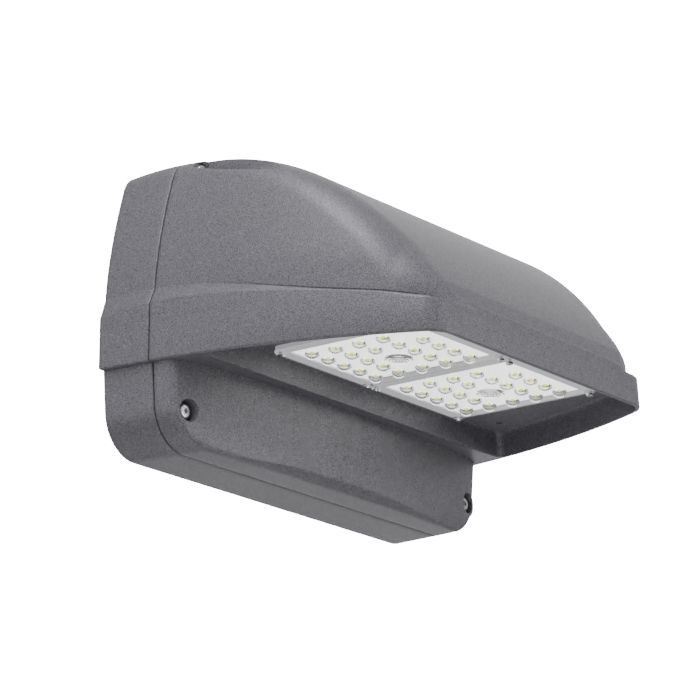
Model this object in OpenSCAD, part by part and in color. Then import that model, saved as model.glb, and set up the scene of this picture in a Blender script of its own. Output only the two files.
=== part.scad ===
// Full cut-off LED wall pack: a cast back box on the wall, and a cast hood that lifts straight off it.
// X runs along the wall, +Y points into the wall, +Z is up. The wall is the plane y = 0, and z = 0 is
// the level of the lower edge of the skirt band around the hood. A depth is a distance from the wall.

/* [Hood and band] */
// Overall width at the wall, over the skirt band
body_w = 403; // [380:1:440]
// How far the hood stands out from the wall
hood_d = 268; // [250:1:300]
// Height of the flat top above the band's lower edge
hood_top = 166.1; // [150:0.1:180]
// Depth at which the top starts to curve down
top_flat_d = 48; // [46:1:70]
// Height of the band at its front
band_front_h = 25; // [20:1:32]
// Height of the band beside the seam
band_side_h = 46; // [40:1:50]
// Wall thickness of both castings
wall_t = 3.2; // [2.6:0.1:4]
// Plan taper of the sides, per millimetre of depth
side_taper = 0.08; // [0.06:0.01:0.1]
// Extra narrowing of each side where it reaches the front
side_bow = 47.3; // [40:0.1:52]
// How far the hood's sides lean in at 100 mm above the ledge
side_lean = 20.3; // [14:0.1:24]
// Depth of the plan corner of the band
band_corner_d = 13; // [10:1:20]
// Depth of the plan corner of the hood
hood_corner_d = 45; // [35:1:50]
// Radius of the edge between side and top at the wall
edge_r_wall = 18; // [12:1:20]
// Radius of the edge between side and front at the front
edge_r_front = 40; // [30:1:44]
// Width of the ledge between band and hood
ledge_w = 5.7; // [4:0.1:7]

/* [Back box and lower cover] */
// Depth of the seam between back box and hood
seam_d = 45.5; // [42:0.5:50]
// Gap in the seam
seam_gap = 0.8; // [0.6:0.1:1.2]
// How far the lower box is set in from the band at the wall
box_in = 5.7; // [5:0.1:16]
// Height of the lower box below the band
box_h = 63.7; // [58:0.1:72]
// Corner radius of the lower box
box_corner_r = 32; // [26:1:36]
// Depth of the lower cover's front face at its middle
cover_d = 79.5; // [77:0.5:84]
// How far the cover's face falls back at the cover screws
cover_bow = 11; // [8:1:12]
// Radius of the cover's front edges
cover_edge_r = 9; // [6:1:10]
// Thickness of the wall that lies on the building
rear_t = 4.5; // [4:0.1:6]
// Width of the rim that carries the seam gasket
rim_w = 8; // [7:0.5:10]

/* [Light opening] */
// Depth at which the light opening starts
cavity_d = 90.5; // [88:0.5:94]
// Height of the pan above the band's lower edge
pan_h = 20.5; // [19:0.5:23]
// Thickness of the pan
pan_t = 4; // [3:0.5:6]
// Thickness of the band's lip around the opening
lip_t = 3; // [2.5:0.1:4]

/* [Light modules] */
// Width of one lens
lens_w = 117; // [110:1:117]
// Gap between the back of the light opening and the lenses
lens_back = 7.8; // [6:0.1:12]
// Gap between the lenses and the front of the light opening
lens_front = 29.7; // [27:0.1:36]
// Gap between the two lenses
lens_gap = 1.2; // [1:0.1:5]
// Spacing of the diodes along the wall
led_pitch_x = 19.6; // [17:0.1:20]
// Spacing of the diodes away from the wall
led_pitch_y = 22.3; // [20:0.1:23]
// Diameter of one lens dome
dome_dia = 11.4; // [9:0.1:12]
// How far a dome stands below the lens plate
dome_h = 5; // [3:0.1:5.4]
// Size of one diode package
led_size = 3.5; // [3:0.1:5]
// Thickness of the diode boards
board_t = 1.6; // [1:0.1:2]
// Thickness of the thermal pads
pad_t = 0.5; // [0.3:0.1:1]

/* [Screws] */
// Cover screw thread diameter
screw_dia = 6; // [5:0.5:6]
// Cover screw head diameter
screw_head_dia = 12; // [10:0.5:12.5]
// Cover screw head height
screw_head_h = 4.4; // [3:0.1:5]
// Diameter of the recess around a cover screw head
recess_dia = 17; // [15:0.5:18]
// How far in from the side of the band the upper cover screws sit
top_screw_in = 42.5; // [42:0.5:51]
// Height of the upper cover screws
top_screw_z = 154.3; // [140:0.1:155]
// How far in from the side of the lower box the lower cover screws sit
low_screw_in = 20.8; // [20:0.1:30]
// Depth of the lower cover screws below the band's lower edge
low_screw_h = 36.7; // [34:0.1:40]
// How far a cover screw reaches into the back box
screw_grip = 5; // [4:0.5:6]
// Lens screw thread diameter
lens_screw_dia = 3; // [2.5:0.5:3]

/* [Driver] */
// Driver length along the wall
driver_l = 170; // [150:1:190]
// Driver width away from the wall
driver_w = 62; // [50:1:68]
// Driver height
driver_h = 34; // [28:1:38]
// Height of the tray above the pan
tray_lift = 14; // [12:1:18]

/* [Wall fixing] */
// Spacing of the four wall screws along the wall
fix_w = 300; // [260:1:310]
// Spacing of the four wall screws up the wall
fix_h = 150; // [130:1:160]
// Height of the middle of the four wall screws, and of the wire entry
fix_z = 32; // [25:1:35]
// Diameter of the wall screw holes
fix_dia = 7; // [5:0.5:8]
// Spacing of the two junction box screw holes
box_fix_w = 88.9; // [83:0.1:89]
// Diameter of the junction box screw holes
box_fix_dia = 5.2; // [4.5:0.1:6]
// Diameter of the wire entry
entry_dia = 22.3; // [20:0.1:28]
// Bore of the wire grommet
entry_bore = 10; // [6:0.5:12]

/* [Hidden] */

casting = "#6f6e74";
rubber = "#2b2b2d";
steel = "#c9c9cc";
optic = "#e4e9ea";
board_white = "#eeeeea";

round_fn = 48;
eps = 0.01;
fit_gap = 0.3;
run_gap = 0.05;

half_w = body_w / 2;
box_half_w = half_w - box_in;
top_screw_x = half_w - top_screw_in;
low_screw_x = box_half_w - low_screw_in;
module_pitch = lens_w + lens_gap;
opening_front = hood_d - lip_t;
lens_l = opening_front - cavity_d - lens_back - lens_front;
module_d = cavity_d + lens_back + lens_l / 2;
ledge_rise = 10;
ledge_top = band_side_h + ledge_rise;
front_top = band_front_h;
bow_power = 2.35;
top_power = 2.285;
drop_power = 0.91;
top_draft = 4.8;
lean_power = 1.53;
band_flare = 1;
band_peak_d = 60;
band_drop = 7;
fade_l = 140;
pan_inset = 4;
front_lean = 3;
band_round = 1.5;
box_draft = 0.08;
rear_front = seam_d - seam_gap / 2;
hood_back = seam_d + seam_gap / 2;
pan_top = pan_h + pan_t;
box_taper = 0.083;
stem_min = 20;

// Plan outline: half width of the band at depth d, and of the hood, which turns its corner earlier
function side_half(d) = half_w - side_taper * d - side_bow * pow(max(d, 0) / hood_d, bow_power);
function side_angle(d) = atan(side_taper + side_bow * bow_power / hood_d * pow(d / hood_d, bow_power - 1));
function plan_half(d, corner) =
    let (start = hood_d - corner)
    d <= start ? side_half(d) :
    let (angle = side_angle(start), r = corner / (1 - sin(angle)), u = (d - start) / r + sin(angle))
    side_half(start) - r * (cos(angle) - sqrt(max(0, 1 - u * u)));

// Height of the hood's top at depth d: flat, then one convex curve down to the band
function top_h(d) =
    d < top_flat_d ? hood_top - top_draft * pow(1 - d / top_flat_d, 2) :
    let (u = min(1, (d - top_flat_d) / (hood_d - 1 - top_flat_d)))
    front_top + (hood_top - front_top) * pow(1 - pow(u, top_power), drop_power);

// Upper edge of the band, and the ledge above it, which fades out towards the front
function fade(d) = let (u = max(0, min(1, (d - band_peak_d) / fade_l))) 1 - u * u * (3 - 2 * u);
function band_h(d) =
    d < band_peak_d ? band_side_h - band_drop * pow(1 - d / band_peak_d, 1.5) :
    band_side_h - (band_side_h - band_front_h) * pow((d - band_peak_d) / (hood_d - band_peak_d), 1.6);
function ledge_h(d) = band_h(d) + 0.8 + (ledge_top - band_side_h) * fade(d) + max(band_peak_d - d, 0) * 0.1;
function hood_half(d) = plan_half(d, hood_corner_d) - 1 - (ledge_w - 1) * fade(d);
function lean(z) = side_lean * pow(max(z - ledge_top, 0) / 100, lean_power);
function lean_angle(z) =
    atan(side_lean * lean_power / 100 * pow(max(z - ledge_top, 0) / 100, lean_power - 1));
function top_edge(d) = max(top_h(d), ledge_h(d) + 4);
function edge_r(d) = min(edge_r_wall + (edge_r_front - edge_r_wall) * d / hood_d,
    (top_edge(d) - ledge_h(d)) * 0.85);

// Half outline of the hood above the ledge at depth d, drawn in by inset, from the ledge to the top's middle
function hood_side(d, inset, side_n, arc_n) =
    let (r = edge_r(d), top = top_edge(d), low = ledge_h(d), a0 = lean_angle(top - r),
        z1 = top - r + r * sin(a0), x1 = hood_half(d) - lean(z1), xc = x1 - r * cos(a0))
    concat(
        [for (i = [0 : side_n - 1]) let (z = low + (z1 - low) * i / side_n) [hood_half(d) - lean(z) - inset, z]],
        [for (i = [0 : arc_n]) let (a = a0 + (90 - a0) * i / arc_n)
            [xc + (r - inset) * cos(a), top - r + (r - inset) * sin(a)]],
        [[xc * 0.5, top - inset], [0, top - inset]]);
// Half outline of the band at depth d, from its inner lower corner up
function band_side(d, inset, floor_z) =
    let (wide = plan_half(d, band_corner_d), flare = band_flare * (1 - fade(d)))
    [[min(wide - band_round, wide - inset - 0.5), floor_z],
     [wide - inset, max(band_round, floor_z + 0.5)],
     [wide - flare - inset, band_h(d)]];
// Lower box: the cover's bowed face, and from it the half width, lowest point and corner at depth d
face_edge_x = box_half_w - box_taper * seam_d - cover_edge_r;
function face_d(x) = cover_d - cover_bow * pow(x / low_screw_x, 3);
face_edge_d = face_d(face_edge_x);
function stem_half(d) =
    let (full = box_half_w - box_taper * d, r = cover_edge_r, e = d - face_edge_d + r)
    e <= 0 ? full : e <= r ? full - r + sqrt(r * r - e * e) :
    min(full - r, max(stem_min, low_screw_x * pow(max(cover_d - d, 0) / cover_bow, 1 / 3)));
function stem_low(d) = let (r = cover_edge_r, e = min(r, d - cover_d + r))
    -box_h + (e > 0 ? r - sqrt(r * r - e * e) : 0);
function stem_r(d) = let (half = stem_half(d), full = box_half_w - box_taper * d)
    d <= face_edge_d ? box_corner_r - (full - half) :
    max(cover_edge_r, (box_corner_r - cover_edge_r) * half / face_edge_x);
// Half outline of the lower box at depth d, drawn in by inset, from its bottom's middle up to the band
function low_side(d, inset) =
    let (at = d + (d > rear_front ? inset : 0), half = stem_half(at), low = stem_low(at) + inset,
        r = stem_r(at) - inset, x0 = half - inset - r)
    concat([[0, low]],
        [for (i = [0 : 4]) let (a = 22.5 * i, z = low + r - r * cos(a))
            [(x0 + r * sin(a)) * (1 + box_draft * z / box_half_w), z]],
        [[half - inset, inset]]);
// The same number of points laid flat at height z, out to half
function flat_side(half, z) = [for (i = [0 : 6]) [half * i / 6, z]];

function mirrored(half) = concat(half, [for (i = [len(half) - 1 : -1 : 0]) if (half[i][0] > eps)
    [-half[i][0], half[i][1]]]);
// Stands an outline up at depth d; the band's front face leans back by front_lean over its height
function unit_ramp(v) = max(0, min(1, v));
function lean_back(d, z) = front_lean * unit_ramp((d - hood_d + 12) / 12) * unit_ramp(z / band_front_h);
function upright(outline, d) = [for (p = outline) [p[0], lean_back(d, p[1]) - d, p[1]]];
function full_outline(d, inset) = mirrored(concat(low_side(d, inset), band_side(d, inset, inset),
    hood_side(d, inset, 4, 5)));

// Skins a row of rings that all have the same number of points; each end is closed by a fan from its middle
function middle(ring) = let (n = len(ring), sum = [for (i = 0, t = ring[0]; i < n; i = i + 1,
    t = i < n ? t + ring[i] : t) t]) sum[n - 1] / n;
module loft(rings) {
    n = len(rings[0]);
    last = len(rings) - 1;
    polyhedron(
        points = concat([for (ring = rings) for (p = ring) p], [middle(rings[0]), middle(rings[last])]),
        faces = [for (i = [0 : n - 1]) let (j = (i + 1) % n) each concat(
            [[(last + 1) * n, i, j]],
            [for (k = [0 : last - 1]) each [[k * n + i, (k + 1) * n + i, (k + 1) * n + j],
                [k * n + i, (k + 1) * n + j, k * n + j]]],
            [[(last + 1) * n + 1, last * n + j, last * n + i]])]);
}

// A straight prism between two depths, from an outline in X and Z
module slab(outline, d0, d1) translate([0, -d0, 0]) rotate([90, 0, 0]) linear_extrude(d1 - d0) polygon(outline);
// A cylinder that points away from the wall, from depth d0 to d1
module rod(x, z, dia, d0, d1) translate([x, -d0, z]) rotate([90, 0, 0]) cylinder(d = dia, h = d1 - d0, $fn = round_fn);
// A cylinder that stands up from z0 to z1 at depth d
module post(x, d, dia, z0, z1) translate([x, -d, z0]) cylinder(d = dia, h = z1 - z0, $fn = round_fn);
// A box given by its x, depth and height ranges
module block(x0, x1, d0, d1, z0, z1) translate([x0, -d1, z0]) cube([x1 - x0, d1 - d0, z1 - z0]);
module rounded(w, l, r) {
    polygon([for (q = [0 : 3]) for (i = [0 : 4]) let (a = 90 * q + 22.5 * i,
        sx = (q == 0 || q == 3) ? 1 : -1, sy = q < 2 ? 1 : -1)
        [sx * (w / 2 - r) + r * cos(a), sy * (l / 2 - r) + r * sin(a)]]);
}

// Cover screws: the seat under each head, the shank's tip and the free travel behind the seat
seat = 60;
seat_t = 7;
clip_t = 1.2;
clip_d0 = hood_back + fit_gap;
screw_tip = rear_front - screw_grip;
boss_dia = 11;
clip_dia = 9.8;
pocket_dia = 10.6;
recess_wall = 2.9;
screw_travel = seat - seat_t - clip_d0 - clip_t;

// A six-lobed drive recess of radius r
module drive(r, h) linear_extrude(h) polygon([for (i = [0 : 23]) let (a = 15 * i, q = r * (0.86 + 0.14 * cos(6 * a)))
    [q * cos(a), q * sin(a)]]);
module cover_screw(x, z, seat) {
    color(steel) difference() {
        union() {
            rod(x, z, screw_dia, screw_tip, seat + eps);
            translate([x, -seat, z]) rotate([90, 0, 0]) rotate_extrude($fn = round_fn) polygon(concat(
                [[0, 0], [screw_head_dia / 2, 0]],
                [for (i = [0 : 4]) let (a = 22.5 * i) [screw_head_dia / 2 - 2 + 2 * cos(a),
                    screw_head_h - 2 + 2 * sin(a)]], [[0, screw_head_h]]));
        }
        translate([x, -seat - screw_head_h + 2.4, z]) rotate([90, 0, 0]) drive(2.7, 3);
    }
}
module cover_screw_top_left() cover_screw(-top_screw_x, top_screw_z, seat);
module cover_screw_top_right() cover_screw(top_screw_x, top_screw_z, seat);
module cover_screw_low_left() cover_screw(-low_screw_x, -low_screw_h, seat);
module cover_screw_low_right() cover_screw(low_screw_x, -low_screw_h, seat);
module screw_clip(x, z) color(steel) difference() {
    rod(x, z, clip_dia, clip_d0, clip_d0 + clip_t);
    rod(x, z, screw_dia + 2 * run_gap, clip_d0 - 1, clip_d0 + clip_t + 1);
}
module screw_clip_top_left() screw_clip(-top_screw_x, top_screw_z);
module screw_clip_top_right() screw_clip(top_screw_x, top_screw_z);
module screw_clip_low_left() screw_clip(-low_screw_x, -low_screw_h);
module screw_clip_low_right() screw_clip(low_screw_x, -low_screw_h);

// Back box
gasket_w = 2.4;
gasket_in = 1.4;
gasket_depth = 2;
groove_gap = 0.3;
wall_gasket_d = 2;
wall_gasket_out = 130;
wall_gasket_in = 112;
block_x = -60;
block_z = 75;
block_w = 40;
block_h = 22;
block_d0 = 12;
block_d1 = 32;
ground_x = 60;
ground_z = 75;
stud_dia = 10;
small_hole = 3.2;

module fix_holes(z_mid, w, h, dia) for (sx = [-1, 1], sz = [-1, 1])
    rod(sx * w / 2, z_mid + sz * h / 2, dia, -1, rear_t + 1);
// The skin runs over the outside, around the gasket groove in the rim, and back over the inside
module back_shell() loft([for (s = [[0, 0], [rear_front * 0.5, 0], [rear_front, 0],
    [rear_front, gasket_in], [rear_front - gasket_depth, gasket_in],
    [rear_front - gasket_depth, gasket_in + gasket_w], [rear_front, gasket_in + gasket_w],
    [rear_front, rim_w], [rear_front - rim_w, rim_w], [rear_front - rim_w, wall_t], [rear_t, wall_t]])
    upright(full_outline(s[0], s[1]), s[0])]);
module back_box() color(casting) difference() {
    union() {
        back_shell();
        for (s = [-1, 1]) {
            rod(s * top_screw_x, top_screw_z, boss_dia, rear_t - 1, rear_front);
            rod(s * low_screw_x, -low_screw_h, boss_dia, rear_t - 1, rear_front);
            rod(block_x + s * block_w * 0.32, block_z, stud_dia, rear_t - 1, block_d0);
        }
        rod(ground_x, ground_z, stud_dia, rear_t - 1, block_d0);
    }
    wall_ring(-1, wall_gasket_d);
    fix_holes(fix_z, fix_w, fix_h, fix_dia);
    for (s = [-1, 1]) {
        rod(s * box_fix_w / 2, fix_z, box_fix_dia, -1, rear_t + 1);
        rod(s * top_screw_x, top_screw_z, screw_dia + 2 * run_gap, rear_t + 1, rear_front + 1);
        rod(s * low_screw_x, -low_screw_h, screw_dia + 2 * run_gap, rear_t + 1, rear_front + 1);
        rod(block_x + s * block_w * 0.32, block_z, small_hole + 2 * run_gap, rear_t + 1, block_d0 + 1);
    }
    rod(ground_x, ground_z, 4 + 2 * run_gap, rear_t + 1, block_d0 + 1);
    rod(0, fix_z, entry_dia, -1, rear_t + 1);
}
// A flat ring that follows the seam's outline, from one inset to another
module seam_ring(d0, d1, inset, w) difference() {
    slab(full_outline(rear_front, inset), d0, d1);
    slab(full_outline(rear_front, inset + w), d0 - 1, d1 + 1);
}
module seam_gasket() color(rubber)
    seam_ring(rear_front - gasket_depth, hood_back, gasket_in + groove_gap, gasket_w - 2 * groove_gap);
module wall_ring(d0, d1) translate([0, -d0, fix_z]) rotate([90, 0, 0]) difference() {
    linear_extrude(d1 - d0) rounded(wall_gasket_out, wall_gasket_out * 0.8, 14);
    translate([0, 0, -1]) linear_extrude(d1 - d0 + 2) rounded(wall_gasket_in, wall_gasket_in * 0.8 - 4, 9);
}
module wall_gasket() color(rubber) wall_ring(0, wall_gasket_d);
module wire_grommet() color(rubber) translate([0, 0, fix_z]) rotate([90, 0, 0]) rotate_extrude($fn = round_fn)
    polygon([[entry_bore / 2, 0], [entry_dia / 2 - run_gap, 0], [entry_dia / 2 - run_gap, rear_t],
        [entry_dia / 2 + 4, rear_t], [entry_dia / 2 + 4, rear_t + 2], [entry_bore / 2 + 2, rear_t + 4],
        [entry_bore / 2, rear_t + 4]]);

// A pan-head screw: shank of dia and len below the seat at z = 0, head above it
module pan_screw(dia, len, head_dia, head_h) difference() {
    union() {
        translate([0, 0, -len]) cylinder(d = dia, h = len + eps, $fn = 24);
        cylinder(d = head_dia, h = head_h, $fn = 32);
    }
    translate([0, 0, head_h * 0.5]) drive(head_dia * 0.2, head_h);
}
module outward(x, d, z) translate([x, -d, z]) rotate([90, 0, 0]) children();
module ground_screw() color("#3d8b4a") outward(ground_x, block_d0, ground_z) pan_screw(4, 6, 9, 2.4);
module terminal_block() color("#d9d6cc") difference() {
    block(block_x - block_w / 2, block_x + block_w / 2, block_d0, block_d1, block_z - block_h / 2,
        block_z + block_h / 2);
    block(block_x - plug_w / 2, block_x + plug_w / 2, socket_d, block_d1 + 1, block_z - plug_h / 2,
        block_z + plug_h / 2);
    for (s = [-1, 1]) {
        rod(block_x + s * block_w * 0.32, block_z, small_hole + 0.4, block_d0 - 1, socket_d + 1);
        rod(block_x + s * block_w * 0.32, block_z, 7, screw_seat_d, socket_d + 1);
    }
    for (i = [-1 : 1]) rod(block_x + i * 9, block_z - block_h / 2 + 2.5, 3, block_d0 + 1, block_d1 + 1);
}
plug_w = 34;
plug_h = 12;
socket_d = 20;
screw_seat_d = 17;
plug_gap = 0.4;
plug_d1 = 46;
module terminal_screws() color(steel) for (s = [-1, 1])
    outward(block_x + s * block_w * 0.32, screw_seat_d, block_z) pan_screw(small_hole, 10, small_head, small_head_h);

// The light opening's half width at depth d; its rear corners are rounded
opening_r = 9;
function opening_half(d) =
    let (e = max(0, opening_r - (d - cavity_d)))
    plan_half(d + lip_t * 0.7, band_corner_d) - lip_t - opening_r + sqrt(opening_r * opening_r - e * e);
// Half outline of the opening's inside at depth d; rise goes from 0 at its rim to 1 on the pan
function opening_side(d, rise) = let (w = opening_half(d))
    concat([for (i = [0 : 2]) [(w - 6.5) * i / 3, pan_h * rise]],
        [[w - 6.5, pan_h * rise], [w - 4, (pan_h - 1.5) * rise], [w - 2.8, (pan_h - 5) * rise], [w, 0]]);
rises = [[0, 0], [2.8, 0.76], [4, 0.93], [6.5, 1]];

function outer_ring(d, low) = upright(mirrored(concat(low, band_side(d, 0, 0), hood_side(d, 0, 4, 5))), d);
function pan_ring(d, ahead) =
    let (w = plan_half(d + ahead * 0.7, band_corner_d) - pan_inset - wall_t)
    upright(mirrored(concat(flat_side(w - 4, pan_top),
        [[w - 1, pan_top], [w, pan_top + 1], [w, band_h(d)]],
        hood_side(d + ahead, wall_t, 4, 5))), d);
function well_ring(d, low) = upright(mirrored(concat(low, band_side(d, wall_t, wall_t),
    hood_side(d, wall_t, 4, 5))), d);
function rim_ring(d, inset) = upright(full_outline(d, inset), d);

flat_n = 0.2;
floor_back = cavity_d - wall_t;
hollow_end = hood_d - 14;
face_x = [160, 130, 95, 60, stem_min];
opening_n = 11;
function skin_d(t) = cavity_d + opening_r + (opening_front - 6.5 - cavity_d - opening_r) * pow(sin(90 * t), 0.85);
// One skin: from the inside's front wall back over the inside, round the rim, and out over the outside
module front_shell() loft(concat(
    [for (i = [8 : -1 : 0]) pan_ring(floor_back + flat_n + (hollow_end - floor_back) * sin(11.25 * i), wall_t)],
    [for (d = [floor_back, cover_d - wall_t + flat_n])
        well_ring(d, flat_side(d == floor_back ? plan_half(d, band_corner_d) - 12 : stem_min - wall_t, wall_t))],
    [for (i = [4 : -1 : 0]) let (d = face_d(face_x[i]) - wall_t) well_ring(d, low_side(d, wall_t))],
    [for (a = [90 : -30 : 0]) let (d = face_edge_d - wall_t - cover_edge_r * (1 - sin(a)))
        well_ring(d, low_side(d, wall_t))],
    [for (s = [[hood_back + rim_w / 2, wall_t], [hood_back + rim_w / 2, rim_w], [hood_back, rim_w],
        [hood_back, 0]]) rim_ring(s[0], s[1])],
    [for (a = [0 : 30 : 90]) let (d = face_edge_d - cover_edge_r * (1 - sin(a))) outer_ring(d, low_side(d, 0))],
    [for (i = [0 : 4]) let (d = face_d(face_x[i])) outer_ring(d, low_side(d, 0))],
    [outer_ring(cover_d + flat_n, flat_side(stem_min, 0))],
    [for (s = rises) let (d = cavity_d + s[0] * 0.4) outer_ring(d, opening_side(d, s[1]))],
    [for (i = [0 : opening_n]) let (d = skin_d(i / opening_n)) outer_ring(d, opening_side(d, 1))],
    [for (i = [2 : -1 : 0]) let (d = opening_front - rises[i][0]) outer_ring(d, opening_side(d, rises[i][1]))],
    [outer_ring(hood_d, flat_side(plan_half(hood_d, band_corner_d) - 6, 0))]));
// The solid under the middle of the skin, which trims the walls of the screw troughs
core_inset = wall_t / 2;
module hood_core() loft([for (d = [hood_back + 2 : 14 : hood_back + 160])
    upright(mirrored(concat([[0, ledge_h(d)]], hood_side(d, core_inset, 3, 6))), d)]);

// Driver tray, on four cast posts
tray_z = pan_top + tray_lift;
tray_t = 1.5;
ear_l = 11;
tray_w = driver_l + 4 * ear_l;
tray_margin = 13;
tray_back = 54.8;
tray_d0 = module_d - tray_back;
tray_d1 = tray_d0 + driver_w + 2 * tray_margin;
post_dia = 9;
post_x = tray_w / 2 - post_dia;
post_in = 10;
driver_d0 = tray_d0 + tray_margin;

module post_places() for (x = [-post_x, post_x], d = [tray_d0 + post_in, tray_d1 - post_in])
    translate([x, -d, 0]) children();
lens_fix_in = 5;
lens_fix_x = lens_w / 2 - lens_fix_in;
lens_fix_y = lens_l / 2 - lens_fix_in - 0.5;
module lens_fix_places() for (m = [-1, 1], x = [-lens_fix_x, lens_fix_x], y = [-lens_fix_y, lens_fix_y])
    translate([m * module_pitch / 2 + x, -module_d + y, 0]) children();
lead_x = led_pitch_x / 2;
lead_dia = 5;
lead_hole = 11;
lens_screw_len = 6;
dimple_x = half_w - 41.5;
dimple_d = cavity_d + 19.5;

// The groove in the top that lets a driver bit reach an upper cover screw; it runs out through the skin
trough_tilt = 2;
trough_l = 130;
module trough(side, r, d0) translate([side * top_screw_x, -d0, top_screw_z]) rotate([90 + trough_tilt, 0, 0])
    linear_extrude(trough_l) polygon(concat([for (i = [0 : 16]) let (a = 180 + 11.25 * i) [r * cos(a), r * sin(a)]],
        [[r, 3 * r], [-r, 3 * r]]));

// Wall of a lower screw's recess, cut off along the bowed face so that it ends inside the cover's wall
module low_boss(side) difference() {
    rod(side * low_screw_x, -low_screw_h, recess_dia + 2 * recess_wall, seat - seat_t, cover_d);
    translate([side * low_screw_x, -face_d(low_screw_x) + 1.5, -low_screw_h])
        rotate([0, 0, side * atan(3 * cover_bow / low_screw_x)])
            translate([-recess_dia, -2 * recess_dia, -recess_dia]) cube(2 * recess_dia);
}
module front_housing() color(casting) difference() {
    union() {
        front_shell();
        intersection() {
            hood_core();
            union() for (s = [-1, 1]) trough(s, recess_dia / 2 + recess_wall, seat - seat_t - 0.6);
        }
        for (s = [-1, 1]) low_boss(s);
        post_places() translate([0, 0, pan_h + 1]) cylinder(d = post_dia, h = tray_z - pan_h - 1, $fn = round_fn);
        lens_fix_places() translate([0, 0, pan_h + 1]) cylinder(d = 8, h = pan_t + 3, $fn = round_fn);
    }
    for (s = [-1, 1]) {
        rod(s * top_screw_x, top_screw_z, recess_dia, seat, seat + 2.6);
        trough(s, recess_dia / 2 - 0.1, seat + 1.5);
        rod(s * low_screw_x, -low_screw_h, recess_dia, seat, cover_d + 1);
        rod(s * top_screw_x, top_screw_z, screw_dia + 1, hood_back, seat + 1);
        rod(s * top_screw_x, top_screw_z, pocket_dia, hood_back - 1, seat - seat_t);
        rod(s * low_screw_x, -low_screw_h, screw_dia + 1, hood_back, seat + 1);
        rod(s * low_screw_x, -low_screw_h, pocket_dia, hood_back - 1, seat - seat_t);
        post(s * module_pitch / 2 + lead_x, module_d, lead_hole, pan_h - 1, pan_top + 1);
        post(s * dimple_x, dimple_d, 5, pan_h - 1, pan_h + 2);
    }
    post_places() translate([0, 0, pan_top + 1]) cylinder(d = small_hole + 2 * run_gap, h = tray_z, $fn = 24);
    lens_fix_places() cylinder(d = lens_screw_dia + 2 * run_gap, h = pan_h + lens_screw_len, $fn = 24);
}

// Driver tray: a plate with a turned-up lip along each long edge
tray_lip = 6;
ear_x = driver_l / 2 + ear_l / 2;
driver_mid = driver_d0 + driver_w / 2;
driver_z = tray_z + tray_t;
module on_tray(x, d) translate([x, -d, driver_z]) children();
module driver_tray() color("#b9bbbe") difference() {
    union() {
        block(-tray_w / 2, tray_w / 2, tray_d0, tray_d1, tray_z, driver_z);
        block(-tray_w / 2, tray_w / 2, tray_d0, tray_d0 + tray_t, tray_z, driver_z + tray_lip);
        block(-tray_w / 2, tray_w / 2, tray_d1 - tray_t, tray_d1, tray_z, driver_z + tray_lip);
    }
    post_places() translate([0, 0, tray_z - 1]) cylinder(d = small_hole + 0.4, h = 5, $fn = 24);
    for (s = [-1, 1]) post(s * ear_x, driver_mid, small_hole + 2 * run_gap, tray_z - 1, driver_z + 1);
}
tray_screw_l = 8;
driver_screw_l = 6;
small_head = 6;
small_head_h = 1.8;
module tray_screws() color(steel) post_places() translate([0, 0, driver_z])
    pan_screw(small_hole, tray_screw_l, small_head, small_head_h);
module led_driver() color("#d4d5d6") difference() {
    union() {
        translate([0, -driver_mid, driver_z]) linear_extrude(driver_h) rounded(driver_l, driver_w, 3);
        for (s = [-1, 1]) block(s * ear_x - ear_l / 2 - 1, s * ear_x + ear_l / 2 + 1, driver_mid - ear_l,
            driver_mid + ear_l, driver_z, driver_z + ear_t);
    }
    for (s = [-1, 1]) post(s * ear_x, driver_mid, small_hole + 0.8, driver_z - 1, driver_z + ear_t + 1);
}
ear_t = 1.6;
module driver_screws() color(steel) for (s = [-1, 1])
    translate([s * ear_x, -driver_mid, driver_z + ear_t])
        pan_screw(small_hole, driver_screw_l, small_head + 0.4, small_head_h);

// Supply plug, in the socket of the terminal block
module supply_plug() color("#e8e6df") union() {
    block(block_x - plug_w / 2 + plug_gap, block_x + plug_w / 2 - plug_gap, socket_d + plug_gap, plug_d1 - 6,
        block_z - plug_h / 2 + plug_gap, block_z + plug_h / 2 - plug_gap);
    block(block_x - plug_w / 2 + 3, block_x + plug_w / 2 - 3, plug_d1 - 6, plug_d1,
        block_z - plug_h / 2 + 1.5, block_z + plug_h / 2 - 1.5);
}

// A lead: rings square to the path at each of its points, given as x, depth, z
lead_n = 10;
function unit(v) = v / norm(v);
function lead_rings(path, dia) =
    let (p = [for (q = path) [q[0], -q[1], q[2]]], n = len(p))
    [for (i = [0 : n - 1]) let (
        along = unit(i == 0 ? p[1] - p[0] : i == n - 1 ? p[i] - p[i - 1] : unit(p[i + 1] - p[i]) + unit(p[i] - p[i - 1])),
        side = unit(cross(along, abs(along[2]) > 0.9 ? [0, 1, 0] : [0, 0, 1])), up = cross(side, along))
        [for (k = [0 : lead_n - 1]) let (a = 360 * k / lead_n) p[i] + dia / 2 * (cos(a) * side - sin(a) * up)]];
module lead(path) color("#f2f0ea") loft(lead_rings(path, lead_dia));
lead_z = driver_z + driver_h / 2;
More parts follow.
